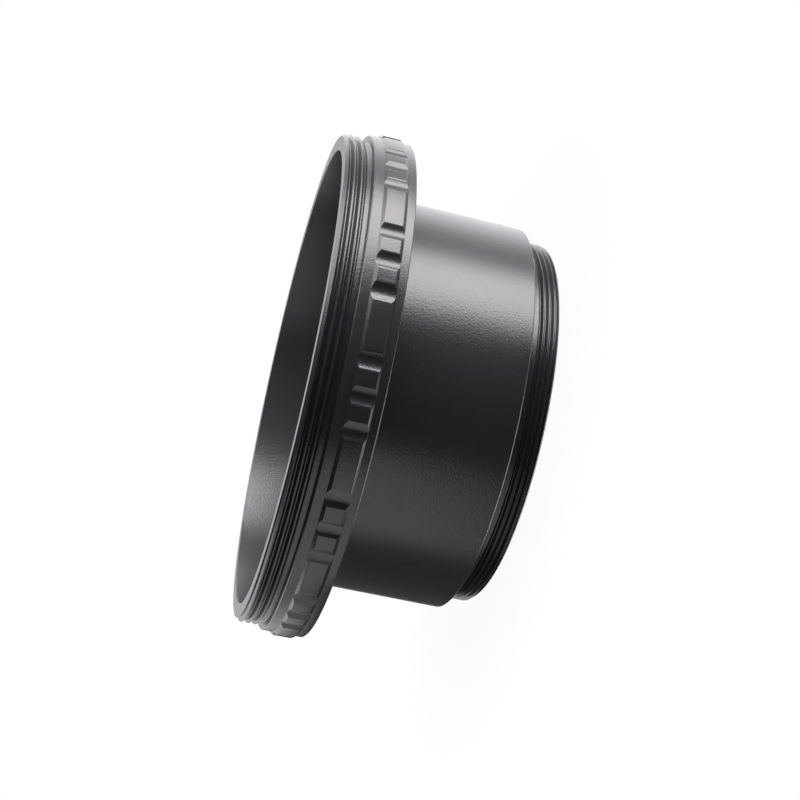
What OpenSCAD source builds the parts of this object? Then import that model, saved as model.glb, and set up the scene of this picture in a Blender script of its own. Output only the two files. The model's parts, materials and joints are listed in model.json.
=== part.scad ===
// Telescope adapter ring: a short stepped tube turned from one bar, with a male thread at each end
// and a milled grip band on its flange. It stands on its small end, with the wide opening up.

/* [Small end] */
// Outer diameter over the crests of the small male thread
small_thread_d = 54; // [52:0.5:55.5]
// Length of the threaded stretch, with its lead-in chamfer
small_thread_len = 2.5; // [2:0.05:6]
// Lead-in chamfer on the end of the small thread
small_lead = 0.45; // [0.2:0.05:0.8]
// Width of the turned relief between the small thread and the barrel
small_relief_w = 1.6; // [1:0.05:2.5]
// Depth of that relief below the thread crests
small_relief_depth = 0.6; // [0.5:0.05:0.8]

/* [Barrel] */
// Outer diameter of the smooth barrel
barrel_d = 57.3; // [56:0.1:64]
// Length of the barrel from the small shoulder to the flange
barrel_len = 18.95; // [10:0.05:40]
// Edge break where the barrel ends at the small shoulder
barrel_edge = 0.2; // [0.1:0.05:0.4]

/* [Flange] */
// Diameter of the two plain lands beside the grip band
flange_d = 73.16; // [73:0.02:80]
// Width of the flange along the axis
flange_w = 5.85; // [4.8:0.05:9]
// Edge break on both outer corners of the flange
flange_edge = 0.2; // [0.1:0.05:0.4]

/* [Grip band] */
// Height of the raised band above the lands
band_h = 0.42; // [0.3:0.02:0.6]
// Width of the flat top of the band
band_top_w = 2.45; // [1.5:0.05:2.9]
// Distance from the barrel side of the flange to the foot of the band
band_offset = 1.15; // [0.6:0.05:1.4]
// Number of groove groups round the band
group_count = 13; // [6:1:15]
// Number of cross grooves in one group
grooves_per_group = 3; // [1:1:3]
// Steps of the dividing head in one group, with the step that is left uncut
steps_per_group = 4; // [4:1:5]
// Radius of the cutter that mills the cross grooves
groove_r = 2; // [1.5:0.1:2.4]
// Depth of the cross grooves below the top of the band
groove_depth = 0.4; // [0.2:0.02:0.4]
// Direction of the middle groove of the first group, from +X towards +Y
first_group_angle = -90; // [-180:1:180]

/* [Large end] */
// Outer diameter over the crests of the large male thread
large_thread_d = 72; // [70:0.5:72.5]
// Length of the threaded stretch, with its lead-in chamfer
large_thread_len = 2.7; // [2:0.05:6]
// Lead-in chamfer on the rim of the large thread
large_lead = 0.45; // [0.2:0.05:0.8]
// Width of the turned relief between the large thread and the flange
large_relief_w = 1.05; // [1:0.05:2]
// Depth of that relief below the thread crests
large_relief_depth = 0.65; // [0.6:0.05:0.9]

/* [Light path] */
// Diameter of the bore through the small end and the barrel
small_bore_d = 50; // [46:0.5:50.5]
// Diameter of the wide bore in the large end
large_bore_d = 67; // [64:0.5:67.5]
// Depth of the wide bore from the rim
large_bore_depth = 7.2; // [5:0.1:8]
// Cone between the wide bore's floor and the small bore, as a chamfer leg
step_chamfer = 1.2; // [0.5:0.1:2]
// Edge break on both mouths of the light path
bore_edge = 0.2; // [0.1:0.05:0.4]

/* [Hidden] */
$fn = 180;
anodised_black = [0.06, 0.06, 0.065];

small_thread_r = small_thread_d / 2;
small_relief_r = small_thread_r - small_relief_depth;
barrel_r = barrel_d / 2;
land_r = flange_d / 2;
band_r = land_r + band_h;
large_thread_r = large_thread_d / 2;
large_relief_r = large_thread_r - large_relief_depth;
small_bore_r = small_bore_d / 2;
large_bore_r = large_bore_d / 2;

// The run from a relief's floor up to the crests falls at the thread's own flank angle
flank_angle = 30;
small_runout = small_relief_depth * tan(flank_angle);
large_runout = large_relief_depth * tan(flank_angle);

// Heights of the shoulders, up from the small end face
shoulder_z = small_thread_len + small_relief_w;
flange_z = shoulder_z + barrel_len;
flange_top_z = flange_z + flange_w;
large_thread_z = flange_top_z + large_relief_w;
rim_z = large_thread_z + large_thread_len;
bore_floor_z = rim_z - large_bore_depth;

// The band's sides are cut at 45 degrees, so each is as wide as the band is high
band_foot_z = flange_z + band_offset;
band_head_z = band_foot_z + 2 * band_h + band_top_w;

groove_step = 360 / (group_count * steps_per_group);
groove_axis_r = band_r - groove_depth + groove_r;

// Half of the ring's section, from the small end face up the outside and down the light path
module ring_section() {
    polygon([
        [small_bore_r + bore_edge, 0],
        [small_thread_r - small_lead, 0],
        [small_thread_r, small_lead],
        [small_thread_r, small_thread_len],
        [small_relief_r, small_thread_len + small_runout],
        [small_relief_r, shoulder_z],
        [barrel_r - barrel_edge, shoulder_z],
        [barrel_r, shoulder_z + barrel_edge],
        [barrel_r, flange_z],
        [land_r - flange_edge, flange_z],
        [land_r, flange_z + flange_edge],
        [land_r, band_foot_z],
        [band_r, band_foot_z + band_h],
        [band_r, band_head_z - band_h],
        [land_r, band_head_z],
        [land_r, flange_top_z - flange_edge],
        [land_r - flange_edge, flange_top_z],
        [large_relief_r, flange_top_z],
        [large_relief_r, large_thread_z - large_runout],
        [large_thread_r, large_thread_z],
        [large_thread_r, rim_z - large_lead],
        [large_thread_r - large_lead, rim_z],
        [large_bore_r + bore_edge, rim_z],
        [large_bore_r, rim_z - bore_edge],
        [large_bore_r, bore_floor_z],
        [small_bore_r + step_chamfer, bore_floor_z],
        [small_bore_r, bore_floor_z - step_chamfer],
        [small_bore_r, bore_edge]
    ]);
}

// One cross groove is the path of a round cutter that runs along the axis over the band
module groove_cut() {
    translate([groove_axis_r, 0, band_foot_z])
        cylinder(r = groove_r, h = band_head_z - band_foot_z);
}

// The groups of grooves leave a long pad of the band between them
module grip_grooves() {
    for (group = [0 : group_count - 1], cut = [0 : grooves_per_group - 1]) {
        step = group * steps_per_group + cut - (grooves_per_group - 1) / 2;
        rotate(first_group_angle + step * groove_step)
            groove_cut();
    }
}

module adapter_ring() {
    color(anodised_black)
        difference() {
            rotate_extrude() ring_section();
            grip_grooves();
        }
}

adapter_ring();
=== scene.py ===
import json
import math

import bpy
from mathutils import Matrix, Vector


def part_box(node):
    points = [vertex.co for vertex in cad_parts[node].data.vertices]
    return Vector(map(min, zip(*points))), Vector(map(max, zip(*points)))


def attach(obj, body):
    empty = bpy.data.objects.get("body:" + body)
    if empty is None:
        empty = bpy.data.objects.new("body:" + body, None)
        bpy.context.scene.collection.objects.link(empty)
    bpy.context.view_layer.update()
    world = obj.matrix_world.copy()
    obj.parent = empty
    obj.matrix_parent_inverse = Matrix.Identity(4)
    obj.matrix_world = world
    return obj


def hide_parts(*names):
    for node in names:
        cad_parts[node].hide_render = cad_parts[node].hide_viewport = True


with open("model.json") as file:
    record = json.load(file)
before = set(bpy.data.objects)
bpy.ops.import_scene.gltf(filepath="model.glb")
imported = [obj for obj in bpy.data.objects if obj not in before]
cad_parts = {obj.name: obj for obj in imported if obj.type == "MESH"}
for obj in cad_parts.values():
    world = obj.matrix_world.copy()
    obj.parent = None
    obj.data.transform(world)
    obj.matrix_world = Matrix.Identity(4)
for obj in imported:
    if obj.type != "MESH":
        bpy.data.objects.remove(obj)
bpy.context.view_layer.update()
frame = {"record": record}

# Lengths are in millimetres, angles in degrees, and Blender's units are metres
MM = 0.001
NODE = "adapter_ring"
mounts = {mount["name"]: mount for mount in frame["record"]["mounts"]}
high_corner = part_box(NODE)[1]


def mount_radius(name):
    return mounts[name]["dims"]["r_mm"]


def mount_heights(name):
    """Lowest and highest point of a round mount."""
    middle = mounts[name]["pos_m"][2] / MM
    half = mounts[name]["dims"]["length_mm"] / 2
    return middle - half, middle + half


# Heights of the shoulders, up from the small end face
RIM_Z = high_corner.z / MM
SHOULDER_Z = 4.1
FLANGE_Z = 23.05
BAND_FOOT_Z = 24.2
BAND_HEAD_Z = 27.49
FLANGE_TOP_Z = 28.9
BORE_FLOOR_Z = 25.45

# Radii
SMALL_THREAD_R = mount_radius("small_thread")
LARGE_THREAD_R = mount_radius("large_thread")
SMALL_BORE_R = mount_radius("light_path")
LARGE_BORE_R = mount_radius("wide_bore")
SMALL_RELIEF_R = 26.4
BARREL_R = 28.65
LAND_R = 36.58
BAND_R = high_corner.y / MM
LARGE_RELIEF_R = 35.35

# Small forms
STEP_CHAMFER = 1.2
SMALL_CRESTS = mount_heights("small_thread")
LARGE_CRESTS = mount_heights("large_thread")
SMALL_LEAD = SMALL_CRESTS[0]
LARGE_LEAD = RIM_Z - LARGE_CRESTS[1]
FLANK_SLOPE = math.tan(math.radians(30))
BORE_ROUND = 0.2
RIM_ROUND = 0.12
BARREL_ROUND = 0.22
FLANGE_ROUND = 0.18
BAND_ROUND = 0.14
INNER_ROUND = 0.18

# A broken corner is a short arc, and these shares of it are its points
ROUND_SHARES = (0, 0.2, 0.8, 1)

# Cross grooves of the grip band
GROUPS = 13
GROOVES_PER_GROUP = 3
STEPS_PER_GROUP = 4
GROOVE_R = 2.0
GROOVE_DEPTH = 0.4
FIRST_GROUP_ANGLE = -90.0
GROOVE_AXIS_R = BAND_R - GROOVE_DEPTH + GROOVE_R
GROOVE_STEP = 360 / (GROUPS * STEPS_PER_GROUP)
GROOVE_LIP = 0.03

# Angles of the sections on one side of a groove's middle, and the widest step across a pad
GROOVE_OFFSETS = (0.3, 0.75, 1.2, 1.6, 1.85, 2.05, 2.3)
PAD_STEP = 0.75

# Threads: crest and root are shares of the pitch, and a crest crosses the near side at crest_z
NEAR_SIDE = -89.35
ROOT_SHARE = 0.11
SMALL_THREAD = {"r": SMALL_THREAD_R, "pitch": 0.75, "crest_share": 0.13, "crest_z": 1.5}
LARGE_THREAD = {"r": LARGE_THREAD_R, "pitch": 1.0, "crest_share": 0.2, "crest_z": 31.22}

# Turned outlines that the threads are cut into, as points of radius and height
SMALL_LIMITS = [
    (SMALL_THREAD_R - SMALL_LEAD, 0),
    (SMALL_THREAD_R, SMALL_CRESTS[0]),
    (SMALL_THREAD_R, SMALL_CRESTS[1]),
    (SMALL_RELIEF_R, SMALL_CRESTS[1] + (SMALL_THREAD_R - SMALL_RELIEF_R) * FLANK_SLOPE),
]
LARGE_LIMITS = [
    (LARGE_RELIEF_R, LARGE_CRESTS[0] - (LARGE_THREAD_R - LARGE_RELIEF_R) * FLANK_SLOPE),
    (LARGE_THREAD_R, LARGE_CRESTS[0]),
    (LARGE_THREAD_R, LARGE_CRESTS[1]),
    (LARGE_THREAD_R - LARGE_LEAD, RIM_Z),
]

# Lengths and areas below this count as none
TINY = 1e-7


def line_at(points, z):
    """Radius at height z of a line of (radius, height) points that climbs."""
    for (r0, z0), (r1, z1) in zip(points, points[1:]):
        if z <= z1:
            return r0 + (r1 - r0) * (z - z0) / (z1 - z0)
    return points[-1][0]


def thread_line(thread, angle, z_from, z_to):
    """The helical form that crosses a section, as points from below z_from to above z_to."""
    pitch = thread["pitch"]
    crest = pitch * thread["crest_share"] / 2
    root = pitch * ROOT_SHARE / 2
    root_r = thread["r"] - (pitch / 2 - crest - root) / FLANK_SLOPE
    turn = (angle - NEAR_SIDE) / 360
    first = math.floor((z_from - thread["crest_z"]) / pitch - turn) - 1
    last = math.ceil((z_to - thread["crest_z"]) / pitch - turn) + 1
    points = []
    for turns in range(first, last + 1):
        z = thread["crest_z"] + (turns + turn) * pitch
        points += [
            (root_r, z - pitch / 2 + root),
            (thread["r"], z - crest),
            (thread["r"], z + crest),
            (root_r, z + pitch / 2 - root),
        ]
    return points


def thread_section(thread, limits, angle):
    """Section of a thread cut into its turned outline: at each height the deeper of the two counts."""
    z_from, z_to = limits[0][1], limits[-1][1]
    form = thread_line(thread, angle, z_from, z_to)
    heights = {z_from, z_to}
    heights |= {z for _, z in form if z_from < z < z_to}
    heights |= {z for _, z in limits}
    heights = sorted(heights)
    crossings = []
    for z0, z1 in zip(heights, heights[1:]):
        gap0 = line_at(form, z0) - line_at(limits, z0)
        gap1 = line_at(form, z1) - line_at(limits, z1)
        if gap0 * gap1 < 0:
            crossings.append(z0 + (z1 - z0) * gap0 / (gap0 - gap1))
    heights = sorted(heights + crossings)
    return without_straight_points([(min(line_at(form, z), line_at(limits, z)), z) for z in heights])


def without_straight_points(points):
    """The same line without the points that lie on a straight stretch of it or on each other."""
    kept = [points[0]]
    for (r, z), (r_after, z_after) in zip(points[1:], points[2:]):
        r_before, z_before = kept[-1]
        area = (r - r_before) * (z_after - z_before) - (z - z_before) * (r_after - r_before)
        if abs(area) > TINY and math.dist((r, z), kept[-1]) > TINY:
            kept.append((r, z))
    return kept + [points[-1]]


def rounded(corners):
    """Points of an outline of (radius, height, rounding) corners, each broken by its rounding."""
    points = [corners[0][:2]]
    for before, corner, after in zip(corners, corners[1:], corners[2:]):
        r, z, rounding = corner
        if rounding == 0:
            points.append((r, z))
            continue
        here = Vector((r, z))
        back = (Vector(before[:2]) - here).normalized()
        ahead = (Vector(after[:2]) - here).normalized()
        half = back.angle(ahead) / 2
        centre = here + (back + ahead).normalized() * (rounding / math.sin(half))
        start = here + back * (rounding / math.tan(half)) - centre
        end = here + ahead * (rounding / math.tan(half)) - centre
        sweep = start.angle_signed(end)
        for share in ROUND_SHARES:
            arm = start.copy()
            arm.rotate(Matrix.Rotation(-sweep * share, 2))
            points.append(tuple(centre + arm))
    points.append(corners[-1][:2])
    return points


def band_height(offset):
    """Height of the grip band over the lands, at an angle from the nearest groove's middle."""
    turn = math.radians(offset)
    side = GROOVE_AXIS_R * math.sin(turn)
    full = BAND_R - LAND_R
    if abs(side) >= GROOVE_R:
        return full
    cut = GROOVE_AXIS_R * math.cos(turn) - math.sqrt(GROOVE_R**2 - side**2) - LAND_R
    return (cut + full - math.sqrt((cut - full) ** 2 + GROOVE_LIP**2)) / 2


def middle_section(height):
    """Outline from the small relief up to the large relief, with the band at this height."""
    rounding = BAND_ROUND * min(1, height / (BAND_R - LAND_R))
    return rounded([
        (*SMALL_LIMITS[-1], 0),
        (SMALL_RELIEF_R, SHOULDER_Z, INNER_ROUND),
        (BARREL_R, SHOULDER_Z, BARREL_ROUND),
        (BARREL_R, FLANGE_Z, INNER_ROUND),
        (LAND_R, FLANGE_Z, FLANGE_ROUND),
        (LAND_R, BAND_FOOT_Z, 0),
        (LAND_R + height, BAND_FOOT_Z + height, rounding),
        (LAND_R + height, BAND_HEAD_Z - height, rounding),
        (LAND_R, BAND_HEAD_Z, 0),
        (LAND_R, FLANGE_TOP_Z, FLANGE_ROUND),
        (LARGE_RELIEF_R, FLANGE_TOP_Z, INNER_ROUND),
        (*LARGE_LIMITS[0], 0),
    ])


def inner_section():
    """Outline from the rim down the light path to the small end face."""
    return rounded([
        (*LARGE_LIMITS[-1], 0),
        (LARGE_BORE_R, RIM_Z, RIM_ROUND),
        (LARGE_BORE_R, BORE_FLOOR_Z, INNER_ROUND),
        (SMALL_BORE_R + STEP_CHAMFER, BORE_FLOOR_Z, 0),
        (SMALL_BORE_R, BORE_FLOOR_Z - STEP_CHAMFER, 0),
        (SMALL_BORE_R, 0, BORE_ROUND),
        (*SMALL_LIMITS[0], 0),
    ])


def groove_middles():
    middles = []
    for group in range(GROUPS):
        for cut in range(GROOVES_PER_GROUP):
            step = group * STEPS_PER_GROUP + cut - (GROOVES_PER_GROUP - 1) / 2
            middles.append(FIRST_GROUP_ANGLE + step * GROOVE_STEP)
    return middles


def section_angles():
    """Angles of the sections, each with its offset from the nearest groove's middle."""
    angles = []
    middles = groove_middles()
    offsets = [-offset for offset in reversed(GROOVE_OFFSETS)] + list(GROOVE_OFFSETS)
    for middle, following in zip(middles, middles[1:] + [middles[0] + 360]):
        angles += [(middle + offset, offset) for offset in offsets]
        start = middle + offsets[-1]
        width = following + offsets[0] - start
        steps = math.ceil(width / PAD_STEP)
        angles += [(start + width * step / steps, offsets[-1]) for step in range(1, steps)]
    return angles


def section_stretches(angle, offset):
    """The closed outline of one section: small thread, outside, large thread and inside."""
    return (
        thread_section(SMALL_THREAD, SMALL_LIMITS, angle),
        middle_section(band_height(offset)),
        thread_section(LARGE_THREAD, LARGE_LIMITS, angle),
        inner_section(),
    )


def vertex_rows(stretches, first_index):
    """Vertex numbers of each stretch, which ends where the next one starts, and the last at the first."""
    rows = []
    index = first_index
    for points in stretches:
        rows.append(list(range(index, index + len(points))))
        index += len(points) - 1
    rows[-1][-1] = first_index
    return rows


def join_plain(row, row_beside, faces):
    """Quads between two stretches that have the same points at every angle."""
    for a0, a1, b0, b1 in zip(row, row[1:], row_beside, row_beside[1:]):
        faces.append((a0, b0, b1, a1))


def join_thread(heights, row, heights_beside, row_beside, faces):
    """Triangles between two stretches of a thread, led by the heights of their points."""
    i, j = 0, 0
    while i < len(row) - 1 or j < len(row_beside) - 1:
        if j == len(row_beside) - 1:
            climb = True
        elif i == len(row) - 1:
            climb = False
        else:
            climb = abs(heights[i + 1] - heights_beside[j]) < abs(heights_beside[j + 1] - heights[i])
        if climb:
            faces.append((row[i], row_beside[j], row[i + 1]))
            i += 1
        else:
            faces.append((row[i], row_beside[j], row_beside[j + 1]))
            j += 1


def join_sections(section, beside, faces):
    """Faces between two neighbouring sections, each a list of stretches with their vertex numbers."""
    small_thread, outside, large_thread, inside = zip(section, beside)
    for (points, row), (points_beside, row_beside) in (small_thread, large_thread):
        heights = [z for _, z in points]
        heights_beside = [z for _, z in points_beside]
        join_thread(heights, row, heights_beside, row_beside, faces)
    for (_, row), (_, row_beside) in (outside, inside):
        join_plain(row, row_beside, faces)


def ring_mesh():
    """The whole ring as one closed mesh, built section by section round the axis."""
    vertices, faces, sections = [], [], []
    for angle, offset in section_angles():
        stretches = section_stretches(angle, offset)
        sections.append(list(zip(stretches, vertex_rows(stretches, len(vertices)))))
        turn = math.radians(angle)
        for points in stretches:
            vertices += [(r * math.cos(turn) * MM, r * math.sin(turn) * MM, z * MM) for r, z in points[:-1]]
    for section, beside in zip(sections, sections[1:] + sections[:1]):
        join_sections(section, beside, faces)
    mesh = bpy.data.meshes.new("turned_ring")
    mesh.from_pydata(vertices, [], faces)
    mesh.validate()
    return mesh


def add_object(name, mesh, material):
    shown = bpy.data.objects.new(name, mesh)
    bpy.context.scene.collection.objects.link(shown)
    mesh.materials.append(material)
    return shown


# Edges that bend by more than this stay crisp
SHARP_ANGLE = 29


def turned_ring(material):
    mesh = ring_mesh()
    mesh.shade_smooth()
    mesh.set_sharp_from_angle(angle=math.radians(SHARP_ANGLE))
    ring = add_object("turned_ring", mesh, material)
    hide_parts(NODE)
    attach(ring, "root")


def new_material(name):
    material = bpy.data.materials.new(name)
    material.use_nodes = True
    tree = material.node_tree
    tree.nodes.clear()
    return material, tree


def math_node(tree, operation, first, second):
    """A maths node's output, from two sockets or numbers."""
    node = tree.nodes.new("ShaderNodeMath")
    node.operation = operation
    for socket, value in zip(node.inputs, (first, second)):
        if isinstance(value, (int, float)):
            socket.default_value = value
        else:
            tree.links.new(value, socket)
    return node.outputs["Value"]


ANODISED_COLOUR = (0.030, 0.030, 0.0313, 1)
# Painted light: a lighter colour on the walls that face the axis stands in for light falling into the bore
INSIDE_PAINTED_LIGHT_COLOUR = (0.06, 0.06, 0.064, 1)
ANODISED_ROUGHNESS = 0.28
ANODISED_IOR = 1.76
GRAIN_SCALE = 4000
GRAIN_DETAIL = 2
GRAIN_HEIGHT = 0.028 * MM

# Inside walls face the axis: their normal times the way out from the axis lies below this
INSIDE_LIMIT = -1 * MM


def painted_light_share(tree, place):
    """1 on the walls that face the ring's axis, where a lighter colour is painted in as light falling into
    the bore.
    """
    outward = tree.nodes.new("ShaderNodeVectorMath")
    outward.operation = "MULTIPLY"
    outward.inputs[1].default_value = (1, 1, 0)
    tree.links.new(place, outward.inputs[0])
    facing = tree.nodes.new("ShaderNodeVectorMath")
    facing.operation = "DOT_PRODUCT"
    surface = tree.nodes.new("ShaderNodeNewGeometry")
    tree.links.new(outward.outputs["Vector"], facing.inputs[0])
    tree.links.new(surface.outputs["True Normal"], facing.inputs[1])
    return math_node(tree, "LESS_THAN", facing.outputs["Value"], INSIDE_LIMIT)


def black_anodised():
    """Bead-blasted aluminium, dyed black: a fine grain in the surface breaks the reflections up. The walls
    that face the axis get a lighter colour, which is painted light in the bore.
    """
    material, tree = new_material("black_anodised")
    nodes, links = tree.nodes, tree.links
    output = nodes.new("ShaderNodeOutputMaterial")
    shader = nodes.new("ShaderNodeBsdfPrincipled")
    shader.inputs["Roughness"].default_value = ANODISED_ROUGHNESS
    shader.inputs["IOR"].default_value = ANODISED_IOR
    place = nodes.new("ShaderNodeTexCoord")
    colour = nodes.new("ShaderNodeMixRGB")
    colour.inputs["Color1"].default_value = ANODISED_COLOUR
    # Painted light: the walls that face the axis take the lighter colour in place of light in the bore
    colour.inputs["Color2"].default_value = INSIDE_PAINTED_LIGHT_COLOUR
    links.new(painted_light_share(tree, place.outputs["Object"]), colour.inputs["Fac"])
    links.new(colour.outputs["Color"], shader.inputs["Base Color"])
    grain = nodes.new("ShaderNodeTexNoise")
    grain.inputs["Scale"].default_value = GRAIN_SCALE
    grain.inputs["Detail"].default_value = GRAIN_DETAIL
    bump = nodes.new("ShaderNodeBump")
    bump.inputs["Strength"].default_value = 1
    bump.inputs["Distance"].default_value = GRAIN_HEIGHT
    links.new(place.outputs["Object"], grain.inputs["Vector"])
    links.new(grain.outputs["Fac"], bump.inputs["Height"])
    links.new(bump.outputs["Normal"], shader.inputs["Normal"])
    links.new(shader.outputs["BSDF"], output.inputs["Surface"])
    return material


def ramp_node(tree, value, start, end, low=0, high=1):
    """A smooth climb from low to high as the value goes from start to end."""
    node = tree.nodes.new("ShaderNodeMapRange")
    node.interpolation_type = "SMOOTHSTEP"
    for name, number in (("From Min", start), ("From Max", end), ("To Min", low), ("To Max", high)):
        node.inputs[name].default_value = number
    tree.links.new(value, node.inputs["Value"])
    return node.outputs["Result"]


def background_share(tree, behind):
    """1 for camera rays, and for those of gloss and glass the share of the background that lies behind."""
    path = tree.nodes.new("ShaderNodeLightPath").outputs
    mirrored = math_node(tree, "MAXIMUM", path["Is Glossy Ray"], path["Is Transmission Ray"])
    dimmed = math_node(tree, "MULTIPLY", mirrored, behind)
    return math_node(tree, "MAXIMUM", path["Is Camera Ray"], dimmed)


WHITE = (1, 1, 1, 1)
FLOOR_R = 56
FLOOR_FADE_FROM = 29
FLOOR_SIDES = 96
FLOOR_COLOUR = (0.75, 0.75, 0.75, 1)

# How far the floor is lifted to the background's white wherever the camera looks
FLOOR_LIFT = 0.95


def pale_floor_material():
    material, tree = new_material("pale_floor")
    nodes, links = tree.nodes, tree.links
    output = nodes.new("ShaderNodeOutputMaterial")
    paper = nodes.new("ShaderNodeBsdfDiffuse")
    paper.inputs["Color"].default_value = FLOOR_COLOUR
    lift = nodes.new("ShaderNodeEmission")
    lift.inputs["Color"].default_value = WHITE
    lifted = nodes.new("ShaderNodeMixShader")
    lift_share = math_node(tree, "MULTIPLY", background_share(tree, 1), FLOOR_LIFT)
    links.new(lift_share, lifted.inputs["Fac"])
    links.new(paper.outputs["BSDF"], lifted.inputs[1])
    links.new(lift.outputs["Emission"], lifted.inputs[2])
    place = nodes.new("ShaderNodeTexCoord")
    distance = nodes.new("ShaderNodeVectorMath")
    distance.operation = "LENGTH"
    links.new(place.outputs["Object"], distance.inputs[0])
    clear = nodes.new("ShaderNodeBsdfTransparent")
    faded = nodes.new("ShaderNodeMixShader")
    fade = ramp_node(tree, distance.outputs["Value"], FLOOR_FADE_FROM * MM, FLOOR_R * MM)
    links.new(fade, faded.inputs["Fac"])
    links.new(lifted.outputs["Shader"], faded.inputs[1])
    links.new(clear.outputs["BSDF"], faded.inputs[2])
    links.new(faded.outputs["Shader"], output.inputs["Surface"])
    return material


def pale_floor():
    """A round pale board under the ring that fades into the background at its edge."""
    turns = [2 * math.pi * side / FLOOR_SIDES for side in range(FLOOR_SIDES)]
    rim = [(FLOOR_R * MM * math.cos(turn), FLOOR_R * MM * math.sin(turn), 0) for turn in turns]
    mesh = bpy.data.meshes.new("floor")
    mesh.from_pydata(rim, [], [tuple(range(FLOOR_SIDES))])
    floor = add_object("floor", mesh, pale_floor_material())
    floor.visible_glossy = False


# The room climbs from its front level to white towards +Y, and falls to a share of it overhead
FRONT_LEVEL = 0.03
BACK_FROM = -0.1
BACK_TO = 0.66
CEILING_FROM = 0.3
CEILING_TO = 0.75
CEILING_SHARE = 0.12


def studio_world():
    """White behind the ring, dim overhead and in front, and white wherever the camera looks."""
    world = bpy.data.worlds.new("studio")
    world.use_nodes = True
    tree = world.node_tree
    tree.nodes.clear()
    nodes, links = tree.nodes, tree.links
    output = nodes.new("ShaderNodeOutputWorld")
    place = nodes.new("ShaderNodeTexCoord")
    split = nodes.new("ShaderNodeSeparateXYZ")
    links.new(place.outputs["Generated"], split.inputs["Vector"])
    wall = ramp_node(tree, split.outputs["Y"], BACK_FROM, BACK_TO, FRONT_LEVEL, 1)
    ceiling = ramp_node(tree, split.outputs["Z"], CEILING_FROM, CEILING_TO, 1, CEILING_SHARE)
    room = math_node(tree, "MULTIPLY", wall, ceiling)
    background = nodes.new("ShaderNodeBackground")
    background.inputs["Color"].default_value = WHITE
    links.new(math_node(tree, "MAXIMUM", room, background_share(tree, room)), background.inputs["Strength"])
    links.new(background.outputs["Background"], output.inputs["Surface"])
    bpy.context.scene.world = world


MIDDLE = (0, 0, 16)
LIGHT_COLOUR = (0.985, 0.97, 1.0)


def soft_light(name, place, width, height, radiance):
    """An area light that faces the ring: its power is its radiance times pi times its area."""
    light = bpy.data.lights.new(name, "AREA")
    light.shape = "RECTANGLE"
    light.size = width * MM
    light.size_y = height * MM
    light.energy = radiance * math.pi * width * height * MM**2
    light.color = LIGHT_COLOUR
    lamp = bpy.data.objects.new(name, light)
    lamp.location = Vector(place) * MM
    direction = (Vector(MIDDLE) - Vector(place)).normalized()
    lamp.rotation_euler = direction.to_track_quat("-Z", "Y").to_euler()
    lamp.visible_camera = False
    bpy.context.scene.collection.objects.link(lamp)


def around(angle, distance, height):
    """A point at an angle from the camera's side towards +X, this far from the axis."""
    turn = math.radians(angle)
    return (distance * math.sin(turn), -distance * math.cos(turn), height)


def studio_lights():
    soft_light("key_softbox", around(74.2, 285, 60), width=196, height=500, radiance=6.3)
    soft_light("high_softbox", (166, 51, 280), width=170, height=170, radiance=3.4)
    soft_light("back_softbox", around(143, 300, 0), width=210, height=260, radiance=0.9)
    soft_light("fill_softbox", around(-61, 300, 0), width=380, height=220, radiance=0.8)
    soft_light("top_softbox", (-190, 165, 215), width=190, height=190, radiance=1.3)
    soft_light("low_softbox", (-90, 40, -280), width=240, height=240, radiance=1.8)


# A dark card beside the barrel, below the height of the flange
CARD_CORNERS = ((-68, -26), (-92, 197))
CARD_HEIGHTS = (-120, 17.5)
CARD_COLOUR = (0.09, 0.09, 0.09, 1)


def dark_card():
    material, tree = new_material("dark_card")
    output = tree.nodes.new("ShaderNodeOutputMaterial")
    paper = tree.nodes.new("ShaderNodeBsdfDiffuse")
    paper.inputs["Color"].default_value = CARD_COLOUR
    tree.links.new(paper.outputs["BSDF"], output.inputs["Surface"])
    (x0, y0), (x1, y1) = CARD_CORNERS
    bottom, top = CARD_HEIGHTS
    corners = [(x0, y0, bottom), (x1, y1, bottom), (x1, y1, top), (x0, y0, top)]
    mesh = bpy.data.meshes.new("dark_card")
    mesh.from_pydata([tuple(c * MM for c in corner) for corner in corners], [], [(0, 1, 2, 3)])
    card = add_object("dark_card", mesh, material)
    card.visible_camera = False


# The camera stands beyond the wide end and is turned on its side, as the ring lies in the photograph
CAMERA_PLACE = (2.49, -207.76, 49.12)
CAMERA_RIGHT = (0.2155, -0.1541, -0.9643)
CAMERA_FORWARD = (-0.0112, 0.9870, -0.1602)
FOCAL_PIXELS = 1420
FRAME_PIXELS = 800
SENSOR = 36
CLIP_START = 1
CLIP_END = 5000


def photograph_camera():
    data = bpy.data.cameras.new("camera")
    data.sensor_width = SENSOR
    data.lens = SENSOR * FOCAL_PIXELS / FRAME_PIXELS
    data.clip_start = CLIP_START * MM
    data.clip_end = CLIP_END * MM
    camera = bpy.data.objects.new("camera", data)
    back = -Vector(CAMERA_FORWARD).normalized()
    up = back.cross(Vector(CAMERA_RIGHT)).normalized()
    right = up.cross(back)
    turned = Matrix((right, up, back)).transposed().to_4x4()
    camera.matrix_world = Matrix.Translation(Vector(CAMERA_PLACE) * MM) @ turned
    bpy.context.scene.collection.objects.link(camera)
    bpy.context.scene.camera = camera


turned_ring(black_anodised())
pale_floor()
studio_world()
studio_lights()
dark_card()
photograph_camera()
bpy.context.scene.view_settings.view_transform = "Standard"
